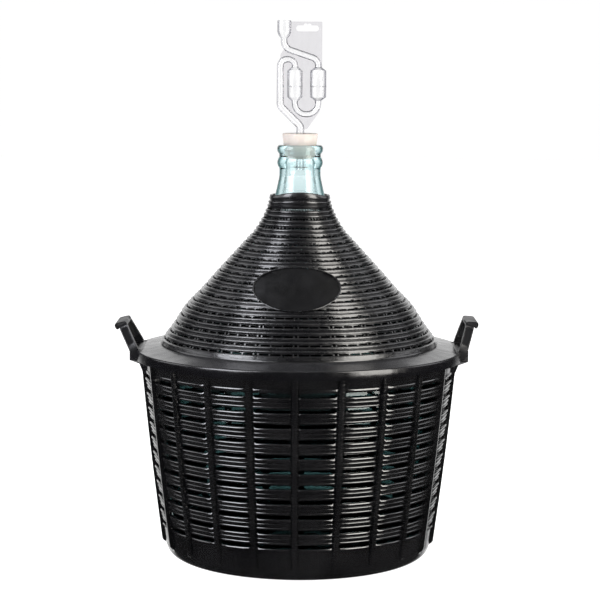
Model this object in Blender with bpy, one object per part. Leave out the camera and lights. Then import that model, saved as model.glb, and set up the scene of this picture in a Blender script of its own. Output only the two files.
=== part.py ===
"""A 25 litre glass demijohn in a plastic basket, with a bored bung and an airlock.

Run it with: blender --background --python part.py
Metres, +Z up. The origin is the centre of the basket's underside.
"""
import math

import bmesh
import bpy
from mathutils import Matrix, Vector

# ---------------------------------------------------------------- driving sizes
GAP = 0.0003                    # play between pieces that touch
TURNED_SIDES = 48               # facets of the carboy and the cover

RIB_COUNT = 22                  # ribs around the tub
RIB_HALF_ANGLE = math.radians(0.85)
RIB_HEIGHT = 0.0035
RIB_PHASE = math.radians(-1.3)  # the front rib stands a little left of the centre line

TUB_FOOT_RADIUS = 0.1465        # flat underside
TUB_WALL_RADIUS_LOW = 0.1605    # wall radius where the slope begins
TUB_WALL_LOW_Z = 0.0160
TUB_WALL_SLOPE = 0.1124         # radius gained per metre of height
TUB_WALL_BULGE = 0.0014         # how far the wall swells beyond a straight cone at mid height
TUB_WALL_THICKNESS = 0.0030
TUB_FLOOR_THICKNESS = 0.0040
TUB_TOP_Z = 0.2446

COVER_THICKNESS = 0.0030
COVER_FLANGE_RADIUS = 0.1960
COVER_FLANGE_Z = 0.2476         # upper edge of the flange
COVER_SKIRT_Z = 0.2367          # lower edge of the skirt
COVER_FOOT_RADIUS = 0.1650
COVER_FOOT_Z = 0.2523
COVER_MOUTH_RADIUS = 0.0354
COVER_TOP_Z = 0.4314

NOTCH_INNER_X = 0.1852          # the flange is cut back here to pass the handle bosses
NOTCH_HALF_WIDTH = 0.0510
BOSS_INNER_X = NOTCH_INNER_X + 0.0006
BOSS_OUTER_X = 0.2004
BOSS_HALF_WIDTH = NOTCH_HALF_WIDTH - 0.0006
BOSS_TOP_Z = 0.2485

HANDLE_AXIS_X = 0.1920
HANDLE_AXIS_Z = 0.2440
HANDLE_PIN_RADIUS = 0.0040
HANDLE_STRUT_Y = 0.0400         # centre of each strut at the pin
HANDLE_STRUT_FOOT = 0.0070      # the struts stay parallel up to here, then lean together
HANDLE_TAPER = 0.0130           # how far each strut leans in, evenly
HANDLE_CORNER = 0.0060          # and how much more near the grip, in a curve
HANDLE_STRUT_WIDTH = 0.0100     # across the strut, seen from the front
HANDLE_STRUT_DEPTH = 0.0070
HANDLE_HEIGHT = 0.0410
HANDLE_LEAN = {"left": math.radians(27.0), "right": math.radians(17.0)}

GLASS_BOTTOM_Z = TUB_FLOOR_THICKNESS + GAP
GLASS_TOP_Z = 0.4895
GLASS_BORE_TOP_RADIUS = 0.0197
GLASS_BORE_RADIUS = 0.0179

BUNG_TOP_Z = 0.5033
BUNG_BOTTOM_Z = 0.4716
BUNG_TOP_RADIUS = 0.0211
BUNG_SEAT_RADIUS = GLASS_BORE_TOP_RADIUS - GAP
BUNG_BOTTOM_RADIUS = GLASS_BORE_RADIUS - GAP
BUNG_BORE_RADIUS = 0.0051

AIRLOCK_STEM_RADIUS = BUNG_BORE_RADIUS - GAP
AIRLOCK_WALL = 0.0011
AIRLOCK_TOP_Z = 0.6358
AIRLOCK_STEM_BOTTOM_Z = 0.4616
AIRLOCK_WEB_THICKNESS = 0.0016


# ---------------------------------------------------------------- scene helpers
def clear_scene():
    for item in list(bpy.data.objects):
        bpy.data.objects.remove(item, do_unlink=True)


def make_material(name, colour, roughness, metallic=0.0, transmission=0.0):
    material = bpy.data.materials.new(name)
    material.use_nodes = True
    shader = material.node_tree.nodes["Principled BSDF"]
    shader.inputs["Base Color"].default_value = (*colour, 1.0)
    shader.inputs["Roughness"].default_value = roughness
    shader.inputs["Metallic"].default_value = metallic
    shader.inputs["Transmission Weight"].default_value = transmission
    return material


def add_object(name, mesh, material=None, smooth_angle=None):
    item = bpy.data.objects.new(name, mesh)
    bpy.context.scene.collection.objects.link(item)
    if material:
        mesh.materials.append(material)
    if smooth_angle:
        mesh.shade_smooth()
        mesh.set_sharp_from_angle(angle=math.radians(smooth_angle))
    return item


def finish_mesh(name, bm):
    """Face normals outwards, then a mesh datablock."""
    bmesh.ops.recalc_face_normals(bm, faces=bm.faces)
    mesh = bpy.data.meshes.new(name)
    bm.to_mesh(mesh)
    bm.free()
    return mesh


def combine(base, tool, operation):
    """Join or cut base with tool for good, and drop the tool."""
    modifier = base.modifiers.new("combine", "BOOLEAN")
    modifier.operation = operation
    modifier.object = tool
    graph = bpy.context.evaluated_depsgraph_get()
    result = bpy.data.meshes.new_from_object(base.evaluated_get(graph))
    base.modifiers.remove(modifier)
    base.data = result
    bpy.data.objects.remove(tool, do_unlink=True)


def bridge_rings(bm, rings, close_ring=False):
    """Quads between rings with the same number of vertices."""
    pairs = list(zip(rings, rings[1:]))
    if close_ring:
        pairs.append((rings[-1], rings[0]))
    for lower, upper in pairs:
        for i in range(len(lower)):
            j = (i + 1) % len(lower)
            bm.faces.new((lower[i], lower[j], upper[j], upper[i]))


def close_with_fan(bm, ring, z):
    """Triangles from a ring to one vertex on the Z axis."""
    tip = bm.verts.new((0.0, 0.0, z))
    for i in range(len(ring)):
        bm.faces.new((ring[i], ring[(i + 1) % len(ring)], tip))


def turned(name, profile, segments, closed=True):
    """Turn a profile of (radius, z) about Z. A closed profile is a ring-shaped section;
    an open one starts and ends on the axis."""
    bm = bmesh.new()
    inner = profile if closed else profile[1:-1]
    rings = []
    for radius, z in inner:
        ring = []
        for i in range(segments):
            angle = 2.0 * math.pi * i / segments
            ring.append(bm.verts.new((radius * math.cos(angle), radius * math.sin(angle), z)))
        rings.append(ring)
    bridge_rings(bm, rings, close_ring=closed)
    if not closed:
        close_with_fan(bm, rings[0], profile[0][1])
        close_with_fan(bm, rings[-1], profile[-1][1])
    return finish_mesh(name, bm)


def arc_points(centre, radius, start, end, steps):
    """Points of an arc in the (radius, z) plane, angles in degrees."""
    points = []
    for i in range(steps + 1):
        angle = math.radians(start + (end - start) * i / steps)
        points.append((centre[0] + radius * math.cos(angle), centre[1] + radius * math.sin(angle)))
    return points


def box_mesh(name, low, high):
    bm = bmesh.new()
    bmesh.ops.create_cube(bm, size=1.0)
    for vertex in bm.verts:
        for axis in range(3):
            middle = (low[axis] + high[axis]) / 2.0
            vertex.co[axis] = middle + vertex.co[axis] * (high[axis] - low[axis])
    return finish_mesh(name, bm)


def prism_mesh(name, outline, low_y, high_y):
    """A plate: an outline of (x, z) points between two values of y."""
    bm = bmesh.new()
    near = [bm.verts.new((x, low_y, z)) for x, z in outline]
    far = [bm.verts.new((x, high_y, z)) for x, z in outline]
    bm.faces.new(near)
    bm.faces.new(far)
    bridge_rings(bm, [near, far])
    return finish_mesh(name, bm)


# ---------------------------------------------------------------- glass carboy
def build_carboy(material):
    body = [(0.1475, 0.0280), (0.1530, 0.0420), (0.1605, 0.0900), (0.1675, 0.1450), (0.1705, 0.1940),
            (0.1660, 0.2300), (0.1550, 0.2620), (0.1355, 0.2900), (0.1120, 0.3140), (0.0870, 0.3385),
            (0.0640, 0.3630), (0.0465, 0.3860), (0.0345, 0.4120)]
    neck = [(0.0291, 0.4326), (0.0252, 0.4499)]
    outer = [(0.0, 0.0105), (0.0600, 0.0098), (0.1000, 0.0060), (0.1120, GLASS_BOTTOM_Z)]
    outer += arc_points((0.1230, GLASS_BOTTOM_Z + 0.0225), 0.0225, -90.0, -5.0, 5)
    outer += body + neck
    outer += [(0.0246, 0.4548), (0.0246, 0.4618), (0.0262, 0.4637), (0.0272, 0.4687), (0.0262, 0.4736),
              (0.0248, 0.4753), (0.0248, 0.4790), (0.0262, 0.4807), (0.0274, 0.4845), (0.0268, 0.4879)]
    outer += [(0.0250, GLASS_TOP_Z), (0.0206, GLASS_TOP_Z), (GLASS_BORE_TOP_RADIUS, GLASS_TOP_Z - 0.0008)]
    wall = 0.0034
    inner = [(GLASS_BORE_RADIUS, BUNG_BOTTOM_Z), (0.0180, 0.4540), (0.0215, 0.4326)]
    inner += [(radius - wall, z - wall * 0.6) for radius, z in reversed(body[1:])]
    inner += arc_points((0.1240, 0.0330), 0.0210, -5.0, -90.0, 4)
    inner += [(0.1000, 0.0122), (0.0600, 0.0150), (0.0, 0.0155)]
    mesh = turned("glass_carboy", outer + inner, TURNED_SIDES, closed=False)
    return add_object("glass_carboy", mesh, material, smooth_angle=40.0)


# ---------------------------------------------------------------- tub of the basket
def tub_wall_radius(z):
    share = (z - TUB_WALL_LOW_Z) / (TUB_TOP_Z - TUB_WALL_LOW_Z)
    bulge = TUB_WALL_BULGE * math.sin(math.pi * min(max(share, 0.0), 1.0))
    return TUB_WALL_RADIUS_LOW + TUB_WALL_SLOPE * (z - TUB_WALL_LOW_Z) + bulge


def tub_ring_angles():
    """Angles around the tub, with the height of the rib at each: 0 or 1."""
    pitch = 2.0 * math.pi / RIB_COUNT
    angles = []
    for i in range(RIB_COUNT):
        middle = -math.pi / 2.0 + RIB_PHASE + i * pitch
        angles.append((middle - RIB_HALF_ANGLE * 1.5, 0))
        angles.append((middle - RIB_HALF_ANGLE, 1))
        angles.append((middle + RIB_HALF_ANGLE, 1))
        angles.append((middle + RIB_HALF_ANGLE * 1.5, 0))
        angles.append((middle + pitch / 3.0, 0))
        angles.append((middle + 2.0 * pitch / 3.0, 0))
    return angles


def build_tub(material):
    rib_foot_z = 0.0140
    wall_heights = [0.0180, 0.0740, 0.1310, 0.1880, TUB_TOP_Z]
    outside = [(TUB_FOOT_RADIUS, 0.0, 0.0), (0.1550, 0.0035, 0.0), (0.1592, 0.0090, 0.0),
               (tub_wall_radius(rib_foot_z), rib_foot_z, 0.0)]
    outside += [(tub_wall_radius(z), z, RIB_HEIGHT) for z in wall_heights]
    inside = [(tub_wall_radius(z) - TUB_WALL_THICKNESS, z, 0.0) for z in reversed(wall_heights)]
    inside += [(0.1530, 0.0075, 0.0), (0.1450, TUB_FLOOR_THICKNESS, 0.0)]
    bm = bmesh.new()
    rings = []
    for radius, z, rib in outside + inside:
        ring = []
        for angle, on_rib in tub_ring_angles():
            reach = radius + rib * on_rib
            ring.append(bm.verts.new((reach * math.cos(angle), reach * math.sin(angle), z)))
        rings.append(ring)
    bridge_rings(bm, rings)
    close_with_fan(bm, rings[0], outside[0][1])
    close_with_fan(bm, rings[-1], inside[-1][1])
    tub = add_object("basket_tub", finish_mesh("basket_tub", bm), material)
    for side in (-1, 1):
        combine(tub, boss_body(side), "UNION")
        for cutter in boss_cutters(side):
            combine(tub, cutter, "DIFFERENCE")
    tub.data.shade_smooth()
    tub.data.set_sharp_from_angle(angle=math.radians(25.0))
    return tub


def boss_body(side):
    """The block outside the tub's rim that a handle turns in. Its underside slopes to the wall."""
    root_radius = tub_wall_radius(TUB_TOP_Z) - TUB_WALL_THICKNESS / 2.0
    steps = 8

    def arc(half_width, radius):
        limit = math.asin(half_width / radius)
        angles = [limit - 2.0 * limit * i / steps for i in range(steps + 1)]
        return [(radius * math.cos(a), radius * math.sin(a)) for a in angles]

    def straight(half_width, x):
        return [(x, half_width - 2.0 * half_width * i / steps) for i in range(steps + 1)]

    def outer(x):
        return [(x, -0.0330), (x, 0.0330)]

    low_z = 0.2196
    knee_z = 0.2314
    under_z = 0.2356
    low_root = tub_wall_radius(low_z) - TUB_WALL_THICKNESS / 2.0
    knee_root = tub_wall_radius(knee_z) - TUB_WALL_THICKNESS / 2.0
    full_outer = outer(BOSS_OUTER_X)
    step_z = TUB_TOP_Z - 0.0008
    levels = [(low_z, outer(tub_wall_radius(low_z) + 0.0002) + arc(0.0350, low_root)),
              (knee_z, outer(0.1889) + arc(0.0440, knee_root)),
              (under_z, full_outer + arc(BOSS_HALF_WIDTH, root_radius - 0.0010)),
              (step_z, full_outer + arc(BOSS_HALF_WIDTH, root_radius)),
              (step_z + 0.0004, full_outer + straight(BOSS_HALF_WIDTH, BOSS_INNER_X)),
              (BOSS_TOP_Z, full_outer + straight(BOSS_HALF_WIDTH, BOSS_INNER_X))]
    bm = bmesh.new()
    rings = []
    for z, outline in levels:
        rings.append([bm.verts.new((side * x, y, z)) for x, y in outline])
    bridge_rings(bm, rings)
    bm.faces.new(rings[0])
    bm.faces.new(rings[-1])
    bmesh.ops.triangulate(bm, faces=bm.faces)
    return add_object("boss_body", finish_mesh("boss_body", bm))


def cylinder_along_y(name, x, z, radius, half_length, sides):
    bm = bmesh.new()
    bmesh.ops.create_cone(bm, cap_ends=True, segments=sides, radius1=radius, radius2=radius,
                          depth=2.0 * half_length)
    turn = Matrix.Rotation(math.pi / 2.0, 4, "X")
    bmesh.ops.transform(bm, matrix=Matrix.Translation((x, 0.0, z)) @ turn, verts=bm.verts)
    return finish_mesh(name, bm)


def boss_cutters(side):
    """The groove of the handle's pin and the two open pockets of its struts."""
    pocket_near = HANDLE_STRUT_Y - HANDLE_STRUT_DEPTH / 2.0 - 0.0008
    pocket_far = HANDLE_STRUT_Y + HANDLE_STRUT_DEPTH / 2.0 + 0.0008
    groove_radius = HANDLE_PIN_RADIUS + GAP
    groove = cylinder_along_y("groove", side * HANDLE_AXIS_X, HANDLE_AXIS_Z, groove_radius,
                              pocket_far - 0.001, 16)
    cutters = [add_object("groove", groove)]
    mouth_half = 0.0028
    mouth = sorted((side * (HANDLE_AXIS_X - mouth_half), side * (HANDLE_AXIS_X + mouth_half)))
    slot = box_mesh("slot", (mouth[0], -pocket_near - 0.001, HANDLE_AXIS_Z),
                    (mouth[1], pocket_near + 0.001, BOSS_TOP_Z + 0.002))
    cutters.append(add_object("slot", slot))
    reach = sorted((side * (HANDLE_AXIS_X - 0.0055), side * (BOSS_OUTER_X + 0.002)))
    for end in (-1, 1):
        span = sorted((end * pocket_near, end * pocket_far))
        pocket = box_mesh("pocket", (reach[0], span[0], HANDLE_AXIS_Z - 0.0062),
                          (reach[1], span[1], BOSS_TOP_Z + 0.002))
        cutters.append(add_object("pocket", pocket))
    return cutters


# ---------------------------------------------------------------- conical cover
COVER_PROFILE = [(COVER_MOUTH_RADIUS, COVER_TOP_Z), (0.0372, 0.4242), (0.0402, 0.4147), (0.0444, 0.4052),
                 (0.0498, 0.3956), (0.0564, 0.3861), (0.0654, 0.3765), (0.0828, 0.3573), (0.1002, 0.3381),
                 (0.1170, 0.3189), (0.1356, 0.2996), (0.1500, 0.2777), (0.1632, 0.2600)]


def offset_inwards(profile, distance):
    """Move each point of a downward-running profile towards the axis along its normal."""
    moved = []
    for i, point in enumerate(profile):
        before = Vector(profile[max(i - 1, 0)])
        after = Vector(profile[min(i + 1, len(profile) - 1)])
        run = (after - before).normalized()
        normal = Vector((-run.y, run.x))
        moved.append((point[0] - normal.x * distance, point[1] - normal.y * distance))
    return moved


def build_cover(material):
    outside = list(COVER_PROFILE)
    outside += [(COVER_FOOT_RADIUS, 0.2592), (COVER_FOOT_RADIUS, COVER_FOOT_Z + 0.0008),
                (COVER_FOOT_RADIUS + 0.0010, COVER_FOOT_Z)]
    outside += [(COVER_FLANGE_RADIUS - 0.0020, COVER_FLANGE_Z + 0.0002),
                (COVER_FLANGE_RADIUS - 0.0005, COVER_FLANGE_Z - 0.0005),
                (COVER_FLANGE_RADIUS, COVER_FLANGE_Z - 0.0020),
                (COVER_FLANGE_RADIUS + 0.0004, COVER_SKIRT_Z + 0.0020),
                (COVER_FLANGE_RADIUS, COVER_SKIRT_Z)]
    skirt_inside = COVER_FLANGE_RADIUS - COVER_THICKNESS
    inside = [(skirt_inside, COVER_SKIRT_Z), (skirt_inside - 0.0004, COVER_FLANGE_Z - COVER_THICKNESS),
              (COVER_FOOT_RADIUS - COVER_THICKNESS, COVER_FOOT_Z - COVER_THICKNESS)]
    lining = offset_inwards(COVER_PROFILE, COVER_THICKNESS)
    lining[0] = (COVER_MOUTH_RADIUS - COVER_THICKNESS, COVER_TOP_Z)
    inside += list(reversed(lining))
    mesh = turned("basket_cover", outside + inside, TURNED_SIDES)
    cover = add_object("basket_cover", mesh, material)
    combine(cover, medallion_pad(), "UNION")
    for side in (-1, 1):
        reach = sorted((side * NOTCH_INNER_X, side * (COVER_FLANGE_RADIUS + 0.01)))
        notch = box_mesh("notch", (reach[0], -NOTCH_HALF_WIDTH, COVER_SKIRT_Z - 0.01),
                         (reach[1], NOTCH_HALF_WIDTH, COVER_FOOT_Z + 0.003))
        combine(cover, add_object("notch", notch), "DIFFERENCE")
    cover.data.shade_smooth()
    cover.data.set_sharp_from_angle(angle=math.radians(30.0))
    return cover


def cover_radius(z):
    """Radius of the cover's outside at height z."""
    for (upper_radius, upper_z), (lower_radius, lower_z) in zip(COVER_PROFILE, COVER_PROFILE[1:]):
        if lower_z <= z <= upper_z:
            share = (upper_z - z) / (upper_z - lower_z)
            return upper_radius + share * (lower_radius - upper_radius)
    return COVER_PROFILE[-1][0]


def medallion_pad():
    """The oval plate on the front of the cone: it follows the cone and stands a little proud."""
    half_width = 0.0513
    low_z = 0.3059
    high_z = 0.3534
    middle_z = (low_z + high_z) / 2.0
    half_height = (high_z - low_z) / 2.0
    sides = 32
    layers = (-0.0018, 0.0012)
    bm = bmesh.new()
    rims = []
    for proud in layers:
        centre_radius = cover_radius(middle_z) + proud
        centre = bm.verts.new((0.0, -centre_radius, middle_z))
        rings = []
        for share in (0.5, 1.0):
            ring = []
            for i in range(sides):
                angle = 2.0 * math.pi * i / sides
                x = share * half_width * math.cos(angle)
                z = middle_z + share * half_height * math.sin(angle)
                radius = cover_radius(z) + proud
                ring.append(bm.verts.new((x, -math.sqrt(radius * radius - x * x), z)))
            rings.append(ring)
        for i in range(sides):
            bm.faces.new((centre, rings[0][i], rings[0][(i + 1) % sides]))
        bridge_rings(bm, rings)
        rims.append(rings[-1])
    bridge_rings(bm, rims)
    return add_object("medallion_pad", finish_mesh("medallion_pad", bm))


# ---------------------------------------------------------------- handles
# Edge of the grip's section from under its inner side to over it: distance out from the strut's
# centre line, height against the strut's end. The grip rises outwards and its lip curls under.
GRIP_EDGE = [(0.0052, -0.0046), (0.0064, -0.0062), (0.0082, -0.0060), (0.0091, -0.0042),
             (0.0092, -0.0014), (0.0082, 0.0006), (0.0060, 0.0012), (0.0020, 0.0004),
             (-0.0022, -0.0006), (-0.0044, -0.0014)]


def strut_centre(height):
    """Distance of a strut's centre line from the middle of the handle, at a height over the pin."""
    share = max(0.0, height - HANDLE_STRUT_FOOT) / (HANDLE_HEIGHT - HANDLE_STRUT_FOOT)
    return HANDLE_STRUT_Y - HANDLE_TAPER * share - HANDLE_CORNER * share ** 4


def strut_mesh(end):
    """One strut: a round foot about the pin, then a bar that leans towards the other strut."""
    half = HANDLE_STRUT_WIDTH / 2.0
    levels = []
    for degrees in (-84.0, -63.0, -42.0, -21.0, 0.0):
        angle = math.radians(degrees)
        levels.append((half * math.sin(angle), half * math.cos(angle)))
    levels += [(height, half) for height in (HANDLE_STRUT_FOOT, 0.0150, 0.0230, 0.0290, 0.0335)]
    levels.append((HANDLE_HEIGHT - 0.0040, half))
    bm = bmesh.new()
    rings = []
    for height, reach in levels:
        low_y = end * strut_centre(height) - HANDLE_STRUT_DEPTH / 2.0
        high_y = low_y + HANDLE_STRUT_DEPTH
        corners = [(-reach, low_y), (reach, low_y), (reach, high_y), (-reach, high_y)]
        rings.append([bm.verts.new((x, y, height)) for x, y in corners])
    bridge_rings(bm, rings)
    bm.faces.new(rings[0])
    bm.faces.new(rings[-1])
    return finish_mesh("strut", bm)


def build_handle(side_name, material):
    """A closed loop: a pin that turns in the boss, two struts and a grip curled outwards."""
    side = -1 if side_name == "left" else 1
    half = HANDLE_STRUT_WIDTH / 2.0
    pin_half_length = HANDLE_STRUT_Y + HANDLE_STRUT_DEPTH / 2.0
    pin = cylinder_along_y("pin", 0.0, 0.0, HANDLE_PIN_RADIUS, pin_half_length - 0.001, 16)
    handle = add_object("handle_" + side_name, pin, material)
    for end in (-1, 1):
        combine(handle, add_object("strut", strut_mesh(end)), "UNION")
    grip_outline = [(-half - 0.0002, HANDLE_HEIGHT - 0.0062)]
    grip_outline += [(x, HANDLE_HEIGHT + rise) for x, rise in GRIP_EDGE]
    grip_outline += [(-half - 0.0002, HANDLE_HEIGHT - 0.0026)]
    grip_half_length = strut_centre(HANDLE_HEIGHT - 0.004) + HANDLE_STRUT_DEPTH / 2.0 + 0.0003
    grip = prism_mesh("grip", grip_outline, -grip_half_length, grip_half_length)
    combine(handle, add_object("grip", grip), "UNION")
    lean = Matrix.Rotation(HANDLE_LEAN[side_name], 4, "Y")
    mirror = Matrix.Scale(side, 4, Vector((1.0, 0.0, 0.0)))
    handle.data.transform(mirror @ lean)
    if side < 0:
        handle.data.flip_normals()
    handle.location = (side * HANDLE_AXIS_X, 0.0, HANDLE_AXIS_Z)
    handle.data.shade_smooth()
    handle.data.set_sharp_from_angle(angle=math.radians(30.0))
    return handle


# ---------------------------------------------------------------- bung
def build_bung(material):
    profile = [(BUNG_TOP_RADIUS - 0.0008, BUNG_TOP_Z), (BUNG_TOP_RADIUS, BUNG_TOP_Z - 0.0008),
               (BUNG_SEAT_RADIUS + 0.0001, GLASS_TOP_Z), (BUNG_SEAT_RADIUS - 0.0001, GLASS_TOP_Z - 0.0010),
               (BUNG_BOTTOM_RADIUS, BUNG_BOTTOM_Z + 0.0008), (BUNG_BOTTOM_RADIUS - 0.0008, BUNG_BOTTOM_Z),
               (BUNG_BORE_RADIUS, BUNG_BOTTOM_Z), (BUNG_BORE_RADIUS, BUNG_TOP_Z)]
    mesh = turned("rubber_bung", profile, 32)
    return add_object("rubber_bung", mesh, material, smooth_angle=35.0)


# ---------------------------------------------------------------- airlock
# Route of the tube from the rim of the cup to the foot of the stem: x, z, outer radius and
# the radius of the bend at that point.
AIRLOCK_ROUTE = [
    (-0.0194, AIRLOCK_TOP_Z, 0.0082, 0.0), (-0.0194, 0.6220, 0.0082, 0.0), (-0.0194, 0.6182, 0.0068, 0.0),
    (-0.0194, 0.6143, 0.0039, 0.0), (-0.0194, 0.6036, 0.0039, 0.007), (0.0209, 0.5901, 0.0039, 0.007),
    (0.0209, 0.5813, 0.0039, 0.0), (0.0209, 0.5772, 0.0096, 0.0), (0.0209, 0.5459, 0.0096, 0.0),
    (0.0209, 0.5418, 0.0036, 0.0), (0.0209, 0.5259, 0.0036, 0.0126), (-0.0066, 0.5259, 0.0036, 0.0126),
    (-0.0066, 0.5418, 0.0036, 0.0), (-0.0066, 0.5459, 0.0091, 0.0), (-0.0066, 0.5772, 0.0091, 0.0),
    (-0.0066, 0.5813, 0.0036, 0.0), (-0.0066, 0.5904, 0.0036, 0.0074), (-0.0238, 0.5904, 0.0040, 0.0074),
    (-0.0238, 0.5356, 0.0043, 0.008), (0.0, 0.5120, 0.0046, 0.006),
    (0.0, BUNG_TOP_Z + 0.0010, AIRLOCK_STEM_RADIUS, 0.0),
    (0.0, AIRLOCK_STEM_BOTTOM_Z, AIRLOCK_STEM_RADIUS, 0.0)]


def rounded_route(route, bend_steps):
    """The route with each bend as an arc: a list of (x, z, radius)."""
    points = []
    for i, (x, z, radius, bend) in enumerate(route):
        if bend == 0.0:
            points.append((x, z, radius))
            continue
        corner = Vector((x, z))
        back = (Vector(route[i - 1][:2]) - corner).normalized()
        ahead = (Vector(route[i + 1][:2]) - corner).normalized()
        half_angle = back.angle(ahead) / 2.0
        setback = bend / math.tan(half_angle)
        centre = corner + (back + ahead).normalized() * (bend / math.sin(half_angle))
        start = corner + back * setback - centre
        end = corner + ahead * setback - centre
        sweep = start.angle_signed(end)
        for j in range(bend_steps + 1):
            arm = start.copy()
            arm.rotate(Matrix.Rotation(-sweep * j / bend_steps, 2))
            points.append((centre.x + arm.x, centre.y + arm.y, radius))
    return points


def swept_tube(name, stations, sides):
    """A capped tube along stations of (x, z, radius) in the XZ plane."""
    bm = bmesh.new()
    rings = []
    for i, (x, z, radius) in enumerate(stations):
        before = stations[max(i - 1, 0)]
        after = stations[min(i + 1, len(stations) - 1)]
        run = Vector((after[0] - before[0], after[1] - before[1])).normalized()
        side = Vector((-run.y, run.x))
        ring = []
        for j in range(sides):
            angle = 2.0 * math.pi * (j + 0.5) / sides
            across = radius * math.cos(angle)
            ring.append(bm.verts.new((x + side.x * across, radius * math.sin(angle), z + side.y * across)))
        rings.append(ring)
    bridge_rings(bm, rings)
    bm.faces.new(rings[0])
    bm.faces.new(rings[-1])
    return finish_mesh(name, bm)


def build_airlock(material):
    stations = rounded_route(AIRLOCK_ROUTE, 4)
    tube_sides = 10
    airlock = add_object("airlock", swept_tube("airlock", stations, tube_sides), material)
    web_outline = [(-0.0130, 0.6345), (0.0254, 0.6345), (0.0254, 0.5797), (0.0225, 0.5287), (0.0085, 0.5090),
                   (0.0020, 0.5065), (-0.0010, 0.5100), (-0.0238, 0.5346), (-0.0238, 0.5955),
                   (-0.0160, 0.6090)]
    half_web = AIRLOCK_WEB_THICKNESS / 2.0
    web = prism_mesh("web", web_outline, -half_web, half_web)
    combine(airlock, add_object("web", web), "UNION")
    channel = [(x, z, radius - AIRLOCK_WALL) for x, z, radius in stations]
    first = channel[0]
    last = channel[-1]
    channel[0] = (first[0], first[1] + 0.002, first[2])
    channel[-1] = (last[0], last[1] - 0.002, last[2])
    combine(airlock, add_object("channel", swept_tube("channel", channel, tube_sides)), "DIFFERENCE")
    hang_slot = [(-0.0055, 0.6230), (0.0215, 0.6230), (0.0215, 0.6300), (0.0125, 0.6300), (0.0105, 0.6325),
                 (0.0055, 0.6325), (0.0035, 0.6300), (-0.0055, 0.6300)]
    slot = prism_mesh("hang_slot", hang_slot, -0.003, 0.003)
    combine(airlock, add_object("hang_slot", slot), "DIFFERENCE")
    airlock.data.shade_smooth()
    airlock.data.set_sharp_from_angle(angle=math.radians(40.0))
    return airlock


# ---------------------------------------------------------------- the whole object
def main():
    clear_scene()
    glass = make_material("aqua_glass", (0.72, 0.88, 0.86), 0.03, transmission=1.0)
    tub_plastic = make_material("tub_plastic", (0.012, 0.012, 0.014), 0.28)
    cover_plastic = make_material("cover_plastic", (0.014, 0.014, 0.016), 0.25)
    handle_plastic = make_material("handle_plastic", (0.013, 0.013, 0.015), 0.32)
    rubber = make_material("bung_rubber", (0.84, 0.78, 0.70), 0.65)
    clear_plastic = make_material("clear_plastic", (0.90, 0.92, 0.94), 0.06, transmission=1.0)
    build_carboy(glass)
    build_tub(tub_plastic)
    build_cover(cover_plastic)
    for side_name in ("left", "right"):
        build_handle(side_name, handle_plastic)
    build_bung(rubber)
    build_airlock(clear_plastic)


main()
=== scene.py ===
"""The looks of a glass demijohn in a slotted plastic basket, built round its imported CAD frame.

Everything is in metres in the frame's own axes: +Z up, front towards -Y.
"""
import math

import bmesh
import bpy
import numpy as np
from mathutils import Matrix, Vector


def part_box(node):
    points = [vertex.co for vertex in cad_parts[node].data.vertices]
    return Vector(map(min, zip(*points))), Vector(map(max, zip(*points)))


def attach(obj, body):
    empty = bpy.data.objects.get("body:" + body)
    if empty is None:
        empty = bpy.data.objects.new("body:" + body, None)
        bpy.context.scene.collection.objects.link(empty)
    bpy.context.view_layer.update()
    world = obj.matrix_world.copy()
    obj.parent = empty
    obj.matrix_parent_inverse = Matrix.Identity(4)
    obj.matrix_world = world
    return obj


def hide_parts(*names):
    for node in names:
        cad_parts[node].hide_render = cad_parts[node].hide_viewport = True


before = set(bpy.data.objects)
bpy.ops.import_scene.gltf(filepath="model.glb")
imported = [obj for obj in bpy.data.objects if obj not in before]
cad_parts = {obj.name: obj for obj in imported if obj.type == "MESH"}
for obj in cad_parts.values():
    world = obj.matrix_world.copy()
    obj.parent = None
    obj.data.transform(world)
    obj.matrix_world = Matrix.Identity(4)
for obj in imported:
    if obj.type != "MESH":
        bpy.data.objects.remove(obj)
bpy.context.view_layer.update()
MM = 0.001

# ------------------------------------------------------------------ shared sizes
SECTORS = 22                                # ribs of the tub and meridians of the cone
SECTOR = 2.0 * math.pi / SECTORS
FRONT = -math.pi / 2.0
RIB_PHASE = math.radians(-1.3)              # the front rib stands a little left of the centre

TUB_LOW, TUB_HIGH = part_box("basket_tub")
COVER_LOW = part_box("basket_cover")[0]
GLASS_LOW, GLASS_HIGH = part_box("glass_carboy")
BUNG_LOW, BUNG_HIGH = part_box("rubber_bung")
AIRLOCK_LOW, AIRLOCK_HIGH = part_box("airlock")

# Tub: a smooth bottom band, then rows of slots with moulded strands between them
TUB_FOOT_RADIUS = 0.1465
TUB_WALL_LOW = (0.1605, 0.0160)             # radius and height where the slope begins
TUB_WALL_SLOPE = 0.1124
TUB_WALL_BULGE = 1.4 * MM                   # how far the wall swells beyond a straight cone
TUB_WALL = 3.0 * MM
TUB_RIM_Z = 0.2446
RIB_HEIGHT = 3.5 * MM
RIB_FOOT_Z = 0.0140
LIP_FIRST_Z = 0.0393                        # lower edge of the lowest row of slots
LIP_PITCH = 17.68 * MM
SLOT_ROWS = 11
SLOT_HEIGHT = 5.2 * MM
SLOT_CHAMFER = 1.2 * MM

# Cover
COVER_WALL = 3.0 * MM
CONE_FOOT_Z = 0.2592
CONE_ROWS = 18
CONE_PITCH = 11.6 * MM
CONE_SLOT = 2.1 * MM
CONE_LAST_ROW = 0.2126                      # arc length from the mouth to the lowest row of slots
MEDALLION_PHASE = math.radians(-1.7)
COLLAR_RISE = 4.2 * MM                      # the mouth stands higher at the front
COLLAR_HALF_ANGLE = math.radians(52.0)
COLLAR_DEPTH = 13.0 * MM                    # distance down the cone over which that fades out
FLANGE_RADIUS = 0.1960
NOTCH_INNER_X = 0.1852
NOTCH_HALF_WIDTH = 0.0510

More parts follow.
